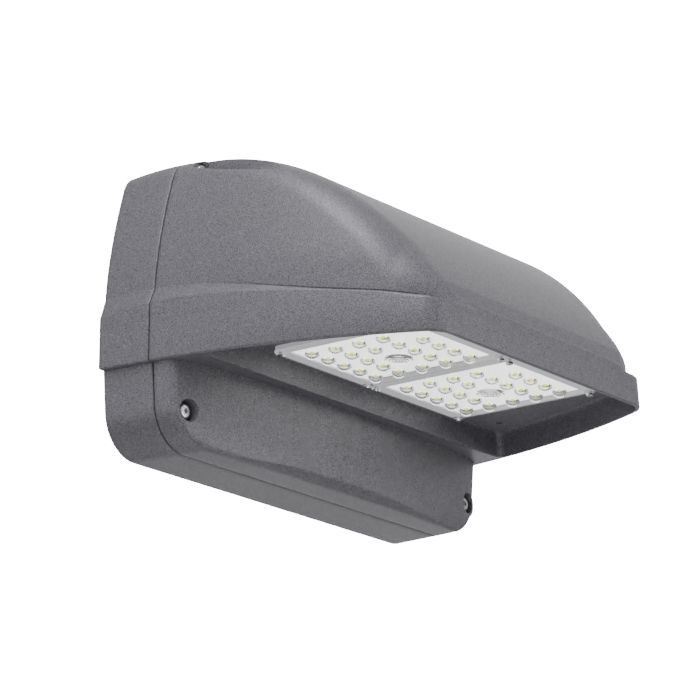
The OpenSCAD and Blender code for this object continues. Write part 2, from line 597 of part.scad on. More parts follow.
// Every bend of a lead is a share of this length
bend = 10;
under_z = tray_z - 0.6 * bend;
lead_end = pan_h - pad_t + fit_gap / 2;
driver_end = driver_l / 2;
lead_turn = tray_w / 2 + bend;
module supply_lead() lead([[block_x, plug_d1, block_z], [block_x, plug_d1 + 1.2 * bend, block_z],
    [block_x - 1.2 * bend, plug_d1 + 3 * bend, block_z],
    [-driver_end - 2 * bend, driver_d0 - 2.5 * bend, block_z], [-driver_end - 3.5 * bend, driver_d0, lead_z + 0.2 * bend],
    [-driver_end - 3.1 * bend, driver_mid - bend, lead_z], [-driver_end - 1.9 * bend, driver_mid, lead_z],
    [-driver_end - 1.1 * bend, driver_mid, lead_z], [-driver_end, driver_mid, lead_z]]);
function output_path(d, x) = [[driver_end, d, lead_z], [driver_end + 0.8 * bend, d, lead_z],
    [lead_turn - 0.6 * bend, d, lead_z - 0.2 * bend], [lead_turn, d, lead_z - bend], [lead_turn, d, under_z + 0.7 * bend],
    [lead_turn - 0.6 * bend, d, under_z], [x + 1.6 * bend, d, under_z],
    [x + 0.8 * bend, (d + module_d) / 2, under_z - 0.05 * bend],
    [x + 0.2 * bend, module_d, under_z - 0.2 * bend], [x, module_d, under_z - 0.5 * bend], [x, module_d, lead_end]];
module output_lead_right() lead(output_path(module_d + 0.72 * bend, module_pitch / 2 + lead_x));
module output_lead_left() lead(output_path(module_d - 0.48 * bend, lead_x - module_pitch / 2));
module lead_grommets() color(rubber) for (s = [-1, 1])
    translate([s * module_pitch / 2 + lead_x, -module_d, pan_h]) rotate_extrude($fn = round_fn)
        polygon([[lead_dia / 2 + 0.2, 0.1], [lead_hole / 2 - run_gap, 0.1], [lead_hole / 2 - run_gap, pan_t],
            [lead_hole / 2 + 2, pan_t], [lead_hole / 2 + 2, pan_t + 1.6], [lead_dia / 2 + 0.2, pan_t + 1.6]]);

// Light modules, drawn about their own middle; side is -1 for the left one and 1 for the right one
pad_in = 9.5;
pad_w = lens_w - 2 * pad_in;
pad_l = lens_l - 2 * pad_in - 2;
board_top = pan_h - pad_t;
board_low = board_top - board_t;
led_h = 0.9;
plate_top = board_low - led_h - fit_gap;
plate_t = 1.7;
plate_low = plate_top - plate_t;
lens_corner = 6;
dome_r = (dome_dia * dome_dia / 4 + dome_h * dome_h) / (2 * dome_h);
module at_module(side, z) translate([side * module_pitch / 2, -module_d, z]) children();
// Diode places: a five by five grid, less two for the lead's cover and one for a corner screw
module led_places() for (i = [0 : 4], j = [0 : 4]) if (!(j == 2 && (i == 2 || i == 3)) && !(i == 0 && j == 4))
    translate([(i - 2) * led_pitch_x, (2 - j) * led_pitch_y, 0]) children();
module lens_corners() for (x = [-lens_fix_x, lens_fix_x], y = [-lens_fix_y, lens_fix_y]) translate([x, y, 0]) children();
module thermal_pad(side) color("#8f9aa3") at_module(side, board_top) difference() {
    linear_extrude(pad_t) rounded(pad_w, pad_l, 4);
    translate([lead_x, 0, -1]) cylinder(d = lead_hole, h = pad_t + 2, $fn = round_fn);
}
module led_board(side) color(board_white) at_module(side, board_low) linear_extrude(board_t) rounded(pad_w, pad_l, 4);
// A diode: a square base with a small silicone dome below it
led_dome_dia = 3.2;
led_neck = 0.8;
module leds(side) color("#e0dc6a") at_module(side, board_low - led_h) led_places() union() {
    translate([-led_size / 2, -led_size / 2, 0]) cube([led_size, led_size, led_h]);
    translate([0, 0, -led_neck]) cylinder(d = led_dome_dia, h = led_neck + led_h / 2, $fn = 24);
    translate([0, 0, -led_neck]) sphere(d = led_dome_dia, $fn = 24);
}
// Gasket between plate and pan, narrower on the side where the leads run
gasket_edge = 0.5;
gasket_thin = 2.5;
gasket_x0 = -pad_w / 2 - gasket_edge;
gasket_x1 = lens_w / 2 - gasket_edge - gasket_thin;
module lens_gasket(side) color("#b4b4b6") at_module(side, plate_top) difference() {
    linear_extrude(pan_h - plate_top) rounded(lens_w - 2 * gasket_edge, lens_l - 2 * gasket_edge, lens_corner - gasket_edge);
    translate([(gasket_x0 + gasket_x1) / 2, 0, -1]) linear_extrude(pan_h)
        rounded(gasket_x1 - gasket_x0, pad_l + 2 * gasket_edge, 3);
    lens_corners() translate([0, 0, -1]) cylinder(d = lens_screw_dia + 1, h = pan_h, $fn = 24);
}
// Beside each dome the plate has a small cap over a part on the board
cap_x = 7;
cap_dia = 3.6;
cap_h = 1.3;
cap_hollow = 2.4;
module lens(side) color(optic) at_module(side, plate_low) difference() {
    union() {
        linear_extrude(plate_t) rounded(lens_w, lens_l, lens_corner);
        led_places() translate([0, 0, dome_r - dome_h]) sphere(r = dome_r, $fn = 32);
        led_places() translate([cap_x, 0, -cap_h]) cylinder(d = cap_dia, h = cap_h + 1, $fn = 24);
        translate([lead_x, 0, -lead_cover_h]) cylinder(d = lead_cover_dia, h = lead_cover_h + 1, $fn = round_fn);
        lens_corners() translate([0, 0, -corner_h]) cylinder(d = corner_dia, h = corner_h + 1, $fn = round_fn);
    }
    translate([-lens_w, -lens_l, plate_t]) cube([2 * lens_w, 2 * lens_l, 2 * dome_r]);
    led_places() translate([0, 0, plate_t]) sphere(r = dome_dia / 2 - dome_wall, $fn = 32);
    led_places() translate([cap_x, 0, -cap_h + dome_wall]) cylinder(d = cap_hollow, h = plate_t + cap_h, $fn = 24);
    lens_corners() translate([0, 0, -corner_h - 1]) cylinder(d = lens_screw_dia + 0.4, h = plate_t + corner_h + 2, $fn = 24);
}
corner_h = 1.3;
dome_wall = 0.5;
corner_dia = 8;
lead_cover_dia = 22;
lead_cover_h = 2.4;
module thermal_pad_left() thermal_pad(-1);
module thermal_pad_right() thermal_pad(1);
module led_board_left() led_board(-1);
module led_board_right() led_board(1);
module leds_left() leds(-1);
module leds_right() leds(1);
module lens_gasket_left() lens_gasket(-1);
module lens_gasket_right() lens_gasket(1);
module lens_left() lens(-1);
module lens_right() lens(1);
module lens_screws() color(steel) lens_fix_places() translate([0, 0, plate_low - corner_h]) mirror([0, 0, 1])
    pan_screw(lens_screw_dia, pan_h + lens_screw_len - plate_low + corner_h - 1, small_head - 0.4, small_head_h);

back_box();
wall_gasket();
wire_grommet();
ground_screw();
terminal_block();
terminal_screws();
seam_gasket();
front_housing();
driver_tray();
tray_screws();
led_driver();
driver_screws();
supply_plug();
supply_lead();
output_lead_left();
output_lead_right();
lead_grommets();
thermal_pad_left();
thermal_pad_right();
led_board_left();
led_board_right();
leds_left();
leds_right();
lens_gasket_left();
lens_gasket_right();
lens_left();
lens_right();
lens_screws();
cover_screw_top_left();
cover_screw_top_right();
cover_screw_low_left();
cover_screw_low_right();
screw_clip_top_left();
screw_clip_top_right();
screw_clip_low_left();
screw_clip_low_right();
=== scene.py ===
"""Looks of a full cut-off LED wall pack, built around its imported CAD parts.

Lengths are in millimetres until a mesh is made. A depth is a distance from the wall, so y = -depth.
"""
import math

import bmesh
import bpy
from mathutils import Matrix, Vector


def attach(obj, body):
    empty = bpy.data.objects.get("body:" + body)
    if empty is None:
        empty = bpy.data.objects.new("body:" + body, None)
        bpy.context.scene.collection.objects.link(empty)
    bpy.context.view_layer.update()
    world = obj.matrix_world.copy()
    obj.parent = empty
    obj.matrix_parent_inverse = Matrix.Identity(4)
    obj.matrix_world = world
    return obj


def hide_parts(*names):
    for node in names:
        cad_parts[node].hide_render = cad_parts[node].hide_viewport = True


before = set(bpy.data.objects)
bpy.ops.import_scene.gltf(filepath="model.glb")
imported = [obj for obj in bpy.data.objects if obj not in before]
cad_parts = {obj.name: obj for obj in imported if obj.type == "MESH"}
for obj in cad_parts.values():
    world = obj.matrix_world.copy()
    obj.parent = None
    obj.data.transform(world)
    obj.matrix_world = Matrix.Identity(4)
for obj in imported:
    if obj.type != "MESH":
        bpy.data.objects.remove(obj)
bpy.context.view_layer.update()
MM = 0.001

# Sizes that the castings share with the part's source
HALF_W = 201.5
HOOD_D = 268
HOOD_TOP = 166.1
TOP_FLAT_D = 48
TOP_DRAFT = 4.8
BAND_FRONT_H = 25
BAND_SIDE_H = 46
BAND_PEAK_D = 60
BAND_DROP = 7
FADE_L = 140
LEDGE_RISE = 10
WALL_T = 3.2
SIDE_TAPER = 0.08
SIDE_BOW = 47.3
BOW_POWER = 2.35
SIDE_LEAN = 20.3
LEAN_POWER = 1.53
BAND_CORNER_D = 13
HOOD_CORNER_D = 45
EDGE_R_WALL = 18
EDGE_R_FRONT = 40
LEDGE_W = 5.7
FRONT_LEAN = 3
SEAM_D = 45.5
SEAM_GAP = 0.8
REAR_FRONT = SEAM_D - SEAM_GAP / 2
HOOD_BACK = SEAM_D + SEAM_GAP / 2
BOX_HALF_W = 195.8
BOX_TAPER = 0.083
BOX_DRAFT = 0.08
BOX_H = 63.7
BOX_CORNER_R = 32
COVER_D = 79.5
COVER_BOW = 11
COVER_EDGE_R = 9
STEM_MIN = 20
REAR_T = 4.5
RIM_W = 8
CAVITY_D = 90.5
PAN_H = 20.5
PAN_T = 4
LIP_T = 3
OPENING_R = 9
OPENING_FRONT = HOOD_D - LIP_T
FLOOR_BACK = CAVITY_D - WALL_T
TOP_SCREW = (159, 154.3)
LOW_SCREW = (175, -36.7)
SEAT = 60
SEAT_T = 7
RECESS_R = 8.5
RECESS_WALL = 2.9
TROUGH_TILT = 2
TROUGH_L = 130
SCREW_R = 3
SCREW_HOLE_R = 3.5
CLIP_POCKET_R = 5.3
SCREW_BOSS_R = 5.5
STUD_R = 5
WALL_SCREWS = (150, (-43, 107))
WALL_SCREW_R = 3.5
BOX_SCREW = (44.45, 32)
BOX_SCREW_R = 2.6
WIRE_HOLE = (0, 32, 11.15)
BLOCK_AT = (-60, 75)
BLOCK_STUD_X = 12.8
GROUND_AT = (60, 75)
TRAY_POSTS = (98, (122, 190))
TRAY_POST_R = 4.5
TRAY_Z = PAN_H + PAN_T + 14
LEAD_HOLE_R = 5.5
DIMPLE = (160, 110, 2.5)
MODULE_PITCH = 118.2
MODULE_D = 166.8
LENS_W = 117
LENS_L = 137
PLATE_LOW = 15.5
PLATE_T = 1.7
PLATE_TOP = PLATE_LOW + PLATE_T
LED_PITCH = (19.6, 22.3)
DOME_R = 5.75
DOME_H = 5
DOME_EDGE = 5.7
DOME_WALL = 0.5
HOLLOW_R = DOME_EDGE - DOME_WALL
LEAD_COVER_R = 11
CAP_X = 7
CAP_R = 1.8
CAP_H = 1.3
CAP_HOLLOW_R = 1.2
LED_DOME_R = 1.6
LED_NECK = 0.8
LED_HALF = 1.75
BOARD_PART = [(1.1, 0), (1.1, 2.9), (0.9, 3.1)]
COVER_RINGS = (9.4, 7.2, 5.0, 2.8)
PLATE_CORNER_R = 6
BOARD_LOW = 18.4
LED_LOW = 17.5
LENS_FIX = (LENS_W / 2 - 5, LENS_L / 2 - 5.5)


def clamp(v, low=0.0, high=1.0):
    return max(low, min(high, v))


def side_half(d):
    """Half width of the band at depth d, corners left out."""
    return HALF_W - SIDE_TAPER * d - SIDE_BOW * (max(d, 0) / HOOD_D) ** BOW_POWER


def plan_half(d, corner):
    """Half width at depth d of an outline that starts to turn its front corner this far from the front."""
    start = HOOD_D - corner
    if d <= start:
        return side_half(d)
    slope = SIDE_TAPER + SIDE_BOW * BOW_POWER / HOOD_D * (start / HOOD_D) ** (BOW_POWER - 1)
    turn = math.atan(slope)
    r = corner / (1 - math.sin(turn))
    u = (d - start) / r + math.sin(turn)
    return side_half(start) - r * (math.cos(turn) - math.sqrt(max(0, 1 - u * u)))


def top_h(d):
    """Height of the hood's top at depth d: flat, then one convex curve down to the band."""
    if d < TOP_FLAT_D:
        return HOOD_TOP - TOP_DRAFT * (1 - d / TOP_FLAT_D) ** 2
    u = min(1, (d - TOP_FLAT_D) / (HOOD_D - 1 - TOP_FLAT_D))
    return BAND_FRONT_H + (HOOD_TOP - BAND_FRONT_H) * (1 - u ** 2.285) ** 0.91


def fade(d):
    """1 by the wall, 0 at the front: how much of the ledge is left."""
    u = clamp((d - BAND_PEAK_D) / FADE_L)
    return 1 - u * u * (3 - 2 * u)


def band_h(d):
    if d < BAND_PEAK_D:
        return BAND_SIDE_H - BAND_DROP * ((BAND_PEAK_D - d) / BAND_PEAK_D) ** 1.5
    return BAND_SIDE_H - (BAND_SIDE_H - BAND_FRONT_H) * ((d - BAND_PEAK_D) / (HOOD_D - BAND_PEAK_D)) ** 1.6


def ledge_h(d):
    return band_h(d) + 0.8 + LEDGE_RISE * fade(d) + max(0, BAND_PEAK_D - d) * 0.1


def hood_half(d):
    return plan_half(d, HOOD_CORNER_D) - 1 - (LEDGE_W - 1) * fade(d)


def lean(z):
    return SIDE_LEAN * (max(z - BAND_SIDE_H - LEDGE_RISE, 0) / 100) ** LEAN_POWER


def lean_angle(z):
    rise = max(z - BAND_SIDE_H - LEDGE_RISE, 0) / 100
    return math.atan(SIDE_LEAN * LEAN_POWER / 100 * rise ** (LEAN_POWER - 1))


def stem_half(d):
    """Half width of the lower box at depth d, along the cover's bowed face."""
    full = BOX_HALF_W - BOX_TAPER * d
    e = d - FACE_EDGE_D + COVER_EDGE_R
    if e <= 0:
        return full
    if e <= COVER_EDGE_R:
        return full - COVER_EDGE_R + math.sqrt(COVER_EDGE_R ** 2 - e * e)
    bowed = LOW_SCREW[0] * (max(COVER_D - d, 0) / COVER_BOW) ** (1 / 3)
    return min(full - COVER_EDGE_R, max(STEM_MIN, bowed))


def face_d(x):
    return COVER_D - COVER_BOW * (x / LOW_SCREW[0]) ** 3


FACE_EDGE_X = BOX_HALF_W - BOX_TAPER * SEAM_D - COVER_EDGE_R
FACE_EDGE_D = face_d(FACE_EDGE_X)


def stem_low(d):
    e = min(COVER_EDGE_R, d - COVER_D + COVER_EDGE_R)
    return -BOX_H + (COVER_EDGE_R - math.sqrt(COVER_EDGE_R ** 2 - e * e) if e > 0 else 0)


def stem_r(d):
    half = stem_half(d)
    if d <= FACE_EDGE_D:
        return BOX_CORNER_R - (BOX_HALF_W - BOX_TAPER * d - half)
    return max(COVER_EDGE_R, (BOX_CORNER_R - COVER_EDGE_R) * half / FACE_EDGE_X)


# Half outlines, each a list of (x, z). The lower part always has LOW_N points, so that rings can be joined
ARC_N = 12
LOW_N = ARC_N + 4


def low_side(d, inset):
    """The lower box, from its bottom's middle up to the band."""
    at = d + (inset if d > REAR_FRONT else 0)
    half, low, r = stem_half(at), stem_low(at) + inset, stem_r(at) - inset
    x0 = half - inset - r
    points = [(0, low), (x0 * 0.5, low)]
    for i in range(ARC_N + 1):
        a = math.radians(90 * i / ARC_N)
        z = low + r - r * math.cos(a)
        points.append(((x0 + r * math.sin(a)) * (1 + BOX_DRAFT * z / BOX_HALF_W), z))
    return points + [(half - inset, inset)]


def flat_side(half, z):
    return [(half * i / (LOW_N - 1), z) for i in range(LOW_N)]


def opening_half(d):
    e = max(0, OPENING_R - (d - CAVITY_D))
    return plan_half(d + LIP_T * 0.7, BAND_CORNER_D) - LIP_T - OPENING_R + math.sqrt(OPENING_R ** 2 - e * e)


# How the opening's wall rises to the pan: distance in from the rim, and share of the pan's height
RISES = [(0.0, 0.0), (0.35, 0.05), (1.4, 0.38), (2.6, 0.72), (3.0, 0.82), (3.6, 0.9), (4.4, 0.955),
         (5.4, 0.99), (6.5, 1.0)]


def opening_side(d, rise):
    """The inside of the light opening at depth d; rise goes from 0 at its rim to 1 on the pan."""
    w = opening_half(d)
    flat_n = LOW_N - len(RISES)
    points = [((w - RISES[-1][0]) * i / flat_n, PAN_H * rise) for i in range(flat_n)]
    return points + [(w - s, PAN_H * rise * r) for s, r in reversed(RISES)]


def fillet(a, b, c, r, n):
    """n + 1 points round the corner b, between the lines to a and c."""
    a, b, c = Vector(a), Vector(b), Vector(c)
    ua, uc = (a - b).normalized(), (c - b).normalized()
    half_turn = ua.angle(uc) / 2
    if half_turn > math.pi / 2 - 0.01:
        return [tuple(b + (ua * (1 - t) + uc * t) * 0.2) for t in [i / n for i in range(n + 1)]]
    cut = min(r / math.tan(half_turn), (a - b).length * 0.45, (c - b).length * 0.45)
    r = cut * math.tan(half_turn)
    middle = b + (ua + uc).normalized() * (r / math.sin(half_turn))
    v0, v1 = b + ua * cut - middle, b + uc * cut - middle
    turn = v0.angle(v1)
    points = []
    for i in range(n + 1):
        t = i / n
        p = (v0 * math.sin((1 - t) * turn) + v1 * math.sin(t * turn)) / math.sin(turn)
        points.append(tuple(middle + p))
    return points


BAND_EDGE_R = 1.6
LEDGE_EDGE_R = 2.5
CREASE = 0.8
SIDE_START = 3.2
SIDE_N = 12
TURN_N = 14


def side_edge(d):
    """Top, radius and start angle of the edge between the hood's side and top, and where it starts."""
    low = ledge_h(d)
    top = max(top_h(d), low + 4)
    r = min(EDGE_R_WALL + (EDGE_R_FRONT - EDGE_R_WALL) * d / HOOD_D, (top - low) * 0.85)
    a0 = lean_angle(top - r)
    return top, r, a0, top - r + r * math.sin(a0)


def foot_corner(d, top, foot, above):
    """The corner at the hood's foot: a fillet at the wall that sharpens to a crease towards the front."""
    x, z = foot
    c = min(CREASE, 0.25 * (side_edge(d)[3] - ledge_h(d)))
    crease = [(x, z), (x - c, z), (x - c, z + 0.8 * c), (x - 0.1, z + 1.4 * c)]
    return [tuple(Vector(a).lerp(Vector(b), 1 - fade(d)))
            for a, b in zip(fillet(top, foot, above, LEDGE_EDGE_R, 3), crease)]


def band_side(d, inset, floor_z, last_low):
    """The band and the ledge above it, from the band's lower edge up to the foot of the hood's side."""
    wide = plan_half(d, BAND_CORNER_D) - inset
    edge, top, foot = (wide, floor_z), (wide, band_h(d)), (hood_half(d) - inset, ledge_h(d))
    above = (foot[0] - lean(foot[1] + 20), foot[1] + 20)
    return (fillet((last_low[0], floor_z), edge, top, BAND_EDGE_R, 3) + [(wide, (floor_z + top[1]) / 2)]
            + fillet(edge, top, foot, LEDGE_EDGE_R, 3) + foot_corner(d, top, foot, above))


def hood_side(d, inset):
    """The hood from just over the ledge, up its side and round its edge to the middle of the top."""
    top, r, a0, z1 = side_edge(d)
    low = ledge_h(d)
    xc = hood_half(d) - lean(z1) - r * math.cos(a0)
    first = low + min(SIDE_START, 0.5 * (z1 - low))
    points = []
    for i in range(SIDE_N):
        z = first + (z1 - first) * i / SIDE_N
        points.append((hood_half(d) - lean(z) - inset, z))
    for i in range(TURN_N + 1):
        a = a0 + (math.pi / 2 - a0) * i / TURN_N
        points.append((xc + (r - inset) * math.cos(a), top - r + (r - inset) * math.sin(a)))
    return points + [(xc * 0.66, top - inset), (xc * 0.33, top - inset), (0, top - inset)]


def upright(half, d):
    """A whole ring at depth d from the outline of its right half; the band's front face leans back."""
    ring = list(half) + [(-x, z) for x, z in reversed(half[1:-1])]
    back = clamp((d - HOOD_D + 12) / 12) * FRONT_LEAN
    return [(x, back * clamp(z / BAND_FRONT_H) - d, z) for x, z in ring]


def outer_ring(d, low):
    return upright(low + band_side(d, 0, 0, low[-1]) + hood_side(d, 0), d)


def inner_ring(d, low, floor_z):
    return upright(low + band_side(d, WALL_T, floor_z, low[-1]) + hood_side(d + WALL_T, WALL_T), d)


def rim_ring(d, inset):
    low = low_side(d, inset)
    return upright(low + band_side(d, inset, inset, low[-1]) + hood_side(d, inset), d)


def pan_ring(d):
    w = plan_half(d + WALL_T * 0.7, BAND_CORNER_D) - 4 - WALL_T
    low = flat_side(w - 4, PAN_H + PAN_T)
    return inner_ring(d, low, PAN_H + PAN_T)


# Meshes

def make_object(name, verts, faces, sharp=40):
    """A mesh object from points in millimetres, smooth except where faces turn by over sharp degrees."""
    mesh = bpy.data.meshes.new(name)
    mesh.from_pydata([(x * MM, y * MM, z * MM) for x, y, z in verts], [], faces)
    mesh.update()
    obj = bpy.data.objects.new(name, mesh)
    bpy.context.scene.collection.objects.link(obj)
    finish_mesh(obj, sharp)
    return obj


def finish_mesh(obj, sharp=40):
    bm = bmesh.new()
    bm.from_mesh(obj.data)
    bmesh.ops.recalc_face_normals(bm, faces=bm.faces)
    bm.to_mesh(obj.data)
    bm.free()
    obj.data.polygons.foreach_set("use_smooth", [True] * len(obj.data.polygons))
    obj.data.set_sharp_from_angle(angle=math.radians(sharp))


def loft(rings, closed_ends=True):
    """Verts and faces of a skin over rings with the same number of points."""
    n = len(rings[0])
    verts = [p for ring in rings for p in ring]
    faces = [(k * n + i, k * n + (i + 1) % n, (k + 1) * n + (i + 1) % n, (k + 1) * n + i)
             for k in range(len(rings) - 1) for i in range(n)]
    if closed_ends:
        faces += [tuple(range(n)), tuple(range(len(verts) - n, len(verts)))]
    return verts, faces


def turned(name, profile, centre, direction, steps=48, sharp=40):
    """A solid of revolution: profile is (radius, height) from axis to axis, height along direction."""
    aim = Vector(direction).to_track_quat("Z", "Y").to_matrix()
    rings = [[tuple(Vector(centre) + aim @ Vector((r * math.cos(a), r * math.sin(a), h)))
              for a in [2 * math.pi * i / steps for i in range(steps)]] for r, h in profile]
    return make_object(name, *loft(rings), sharp=sharp)


def straight(name, outline, start, end, sharp=40):
    """A prism over a flat outline of 3-D points, moved from start to end along a vector."""
    rings = [[tuple(Vector(p) + Vector(step)) for p in outline] for step in (start, end)]
    return make_object(name, *loft(rings), sharp=sharp)


def join(name, objects):
    """One object of the pieces, which stay loose parts of it."""
    bm = bmesh.new()
    for obj in objects:
        bm.from_mesh(obj.data)
        bpy.data.objects.remove(obj)
    mesh = bpy.data.meshes.new(name)
    bm.to_mesh(mesh)
    bm.free()
    obj = bpy.data.objects.new(name, mesh)
    bpy.context.scene.collection.objects.link(obj)
    return obj


def carve(obj, tool, operation="DIFFERENCE"):
    """Joins or cuts obj with tool, which is used up. Faces that come from tool get material index 1."""
    for piece in (obj, tool):
        while len(piece.data.materials) < 2:
            piece.data.materials.append(None)
    tool.data.polygons.foreach_set("material_index", [1] * len(tool.data.polygons))
    step = obj.modifiers.new("carve", "BOOLEAN")
    step.operation = operation
    step.solver = "EXACT"
    step.object = tool
    result = bpy.data.meshes.new_from_object(obj.evaluated_get(bpy.context.evaluated_depsgraph_get()))
    obj.modifiers.clear()
    obj.data = result
    bpy.data.objects.remove(tool)


def soften_cuts(obj, width, near=None):
    """Rounds the edges where a tool's faces meet the rest, then forgets which faces the tool made."""
    bm = bmesh.new()
    bm.from_mesh(obj.data)
    edges = [e for e in bm.edges if len(e.link_faces) == 2
             and e.link_faces[0].material_index != e.link_faces[1].material_index
             and (near is None or near(e.verts[0].co / MM))]
    bmesh.ops.bevel(bm, geom=edges, offset=width * MM, offset_type="OFFSET", segments=2, profile=0.5,
                    affect="EDGES", clamp_overlap=True)
    for f in bm.faces:
        f.material_index = 0
    bm.to_mesh(obj.data)
    bm.free()


def rod(x, z, r, d0, d1, steps=48):
    return turned("rod", [(r, d0), (r, d1)], (x, 0, z), (0, -1, 0), steps)


def post(x, d, r, z0, z1, steps=48):
    return turned("post", [(r, z0), (r, z1)], (x, -d, 0), (0, 0, 1), steps)


# Colours and materials

def linear(hex_colour):
    """sRGB hex to a linear colour."""
    values = [int(hex_colour[i:i + 2], 16) / 255 for i in (1, 3, 5)]
    return [v / 12.92 if v <= 0.04045 else ((v + 0.055) / 1.055) ** 2.4 for v in values] + [1]


def add_node(material, kind, settings=None, inputs=None, links=None):
    """Adds a shader node with its settings and socket values, and links {socket: (node, output)} into it."""
    node = material.node_tree.nodes.new(kind)
    for key, value in (settings or {}).items():
        setattr(node, key, value)
    for key, value in (inputs or {}).items():
        node.inputs[key].default_value = value
    for key, (source, output) in (links or {}).items():
        material.node_tree.links.new(source.outputs[output], node.inputs[key])
    return node


def new_material(name):
    material = bpy.data.materials.new(name)
    material.use_nodes = True
    material.node_tree.nodes.clear()
    return material


def surface(material, inputs, links=None):
    """Closes a material with a Principled shader."""
    shader = add_node(material, "ShaderNodeBsdfPrincipled", inputs=inputs, links=links)
    add_node(material, "ShaderNodeOutputMaterial", links={"Surface": (shader, "BSDF")})
    return material


def powder_coat(name, dark, light, grain_mm, rough, flake):
    """Thermoset polyester powder with aluminium flake on die-cast aluminium: melted grains give a fine
    pebbled skin, and the flake a broad sheen that sparkles. The grain is coarser than the real 0.3 mm,
    so that it shows."""
    m = new_material(name)
    place = add_node(m, "ShaderNodeTexCoord")
    grain = add_node(m, "ShaderNodeTexNoise",
                     inputs={"Scale": 1 / (grain_mm * MM), "Detail": 3.0, "Roughness": 0.62},
                     links={"Vector": (place, "Object")})
    speck = add_node(m, "ShaderNodeTexNoise", inputs={"Scale": 1 / (grain_mm * 0.55 * MM), "Detail": 1.0},
                     links={"Vector": (place, "Object")})
    tone = add_node(m, "ShaderNodeValToRGB", links={"Fac": (speck, "Fac")})
    tone.color_ramp.elements[0].position = 0.36
    tone.color_ramp.elements[0].color = linear(dark)
    tone.color_ramp.elements[1].position = 0.68
    tone.color_ramp.elements[1].color = linear(light)
    gloss = add_node(m, "ShaderNodeMapRange",
                     inputs={"From Min": 0.35, "From Max": 0.65, "To Min": rough - 0.08,
                             "To Max": rough + 0.1},
                     links={"Value": (grain, "Fac")})
    bump = add_node(m, "ShaderNodeBump", inputs={"Strength": 0.42, "Distance": grain_mm * 0.22 * MM},
                    links={"Height": (grain, "Fac")})
    return surface(m, {"IOR": 1.5, "Metallic": flake},
                   {"Base Color": (tone, "Color"), "Roughness": (gloss, "Result"),
                    "Normal": (bump, "Normal")})


def turned_steel(name, colour, rough):
    """Machined stainless steel: bright, with faint turning marks."""
    m = new_material(name)
    place = add_node(m, "ShaderNodeTexCoord")
    marks = add_node(m, "ShaderNodeTexNoise", inputs={"Scale": 1 / (0.5 * MM), "Detail": 2.0},
                     links={"Vector": (place, "Object")})
    gloss = add_node(m, "ShaderNodeMapRange", inputs={"To Min": rough - 0.06, "To Max": rough + 0.08},
                     links={"Value": (marks, "Fac")})
    return surface(m, {"Base Color": linear(colour), "Metallic": 1.0}, {"Roughness": (gloss, "Result")})


def rolled_sheet(name, colour, rough):
    """Zinc-coated or bare sheet: a metal with soft cloudy spangle about 6 mm across."""
    m = new_material(name)
    place = add_node(m, "ShaderNodeTexCoord")
    spangle = add_node(m, "ShaderNodeTexVoronoi", inputs={"Scale": 1 / (6 * MM)},
                       links={"Vector": (place, "Object")})
    gloss = add_node(m, "ShaderNodeMapRange", inputs={"To Min": rough - 0.08, "To Max": rough + 0.12},
                     links={"Value": (spangle, "Distance")})
    return surface(m, {"Base Color": linear(colour), "Metallic": 1.0}, {"Roughness": (gloss, "Result")})


def moulded(name, colour, rough):
    """Injection-moulded plastic or rubber: even colour with a faint spark-eroded grain."""
    m = new_material(name)
    place = add_node(m, "ShaderNodeTexCoord")
    grain = add_node(m, "ShaderNodeTexNoise", inputs={"Scale": 1 / (0.8 * MM), "Detail": 2.0},
                     links={"Vector": (place, "Object")})
    bump = add_node(m, "ShaderNodeBump", inputs={"Strength": 0.1, "Distance": 0.1 * MM},
                    links={"Height": (grain, "Fac")})
    return surface(m, {"Base Color": linear(colour), "Roughness": rough, "IOR": 1.5},
                   {"Normal": (bump, "Normal")})


def clear_acrylic(name):
    """Optical acrylic, moulded in a polished tool: clear, with slight flow waves. Its index is set below the
    real 1.49, and it carries a faint painted glow, an emission that stands in for light, so that the diodes
    show through the domes."""
    m = new_material(name)
    place = add_node(m, "ShaderNodeTexCoord")
    waves = add_node(m, "ShaderNodeTexNoise", inputs={"Scale": 1 / (9 * MM), "Detail": 1.0},
                     links={"Vector": (place, "Object")})
    bump = add_node(m, "ShaderNodeBump", inputs={"Strength": 0.06, "Distance": 0.3 * MM},
                    links={"Height": (waves, "Fac")})
    return surface(m, {"Base Color": linear("#fbfcfc"), "Roughness": 0.02, "IOR": ACRYLIC_IOR,
                       "Transmission Weight": 1.0, "Emission Color": linear("#ffffff"),
                       "Emission Strength": ACRYLIC_PAINTED_GLOW},
                   {"Normal": (bump, "Normal")})


def painted_glow_satin(name, colour, rough, glow):
    """A satin surface inside a module, with painted light: an even emission that makes it read brightly lit
    under the clear plate, though no diode is lit.
    """
    m = new_material(name)
    place = add_node(m, "ShaderNodeTexCoord")
    resin = add_node(m, "ShaderNodeTexNoise", inputs={"Scale": 1 / (2.5 * MM)},
                     links={"Vector": (place, "Object")})
    bump = add_node(m, "ShaderNodeBump", inputs={"Strength": 0.08, "Distance": 0.05 * MM},
                    links={"Height": (resin, "Fac")})
    return surface(m, {"Base Color": linear(colour), "Roughness": rough, "IOR": 1.5,
                       "Emission Color": linear(colour), "Emission Strength": glow},
                   {"Normal": (bump, "Normal")})
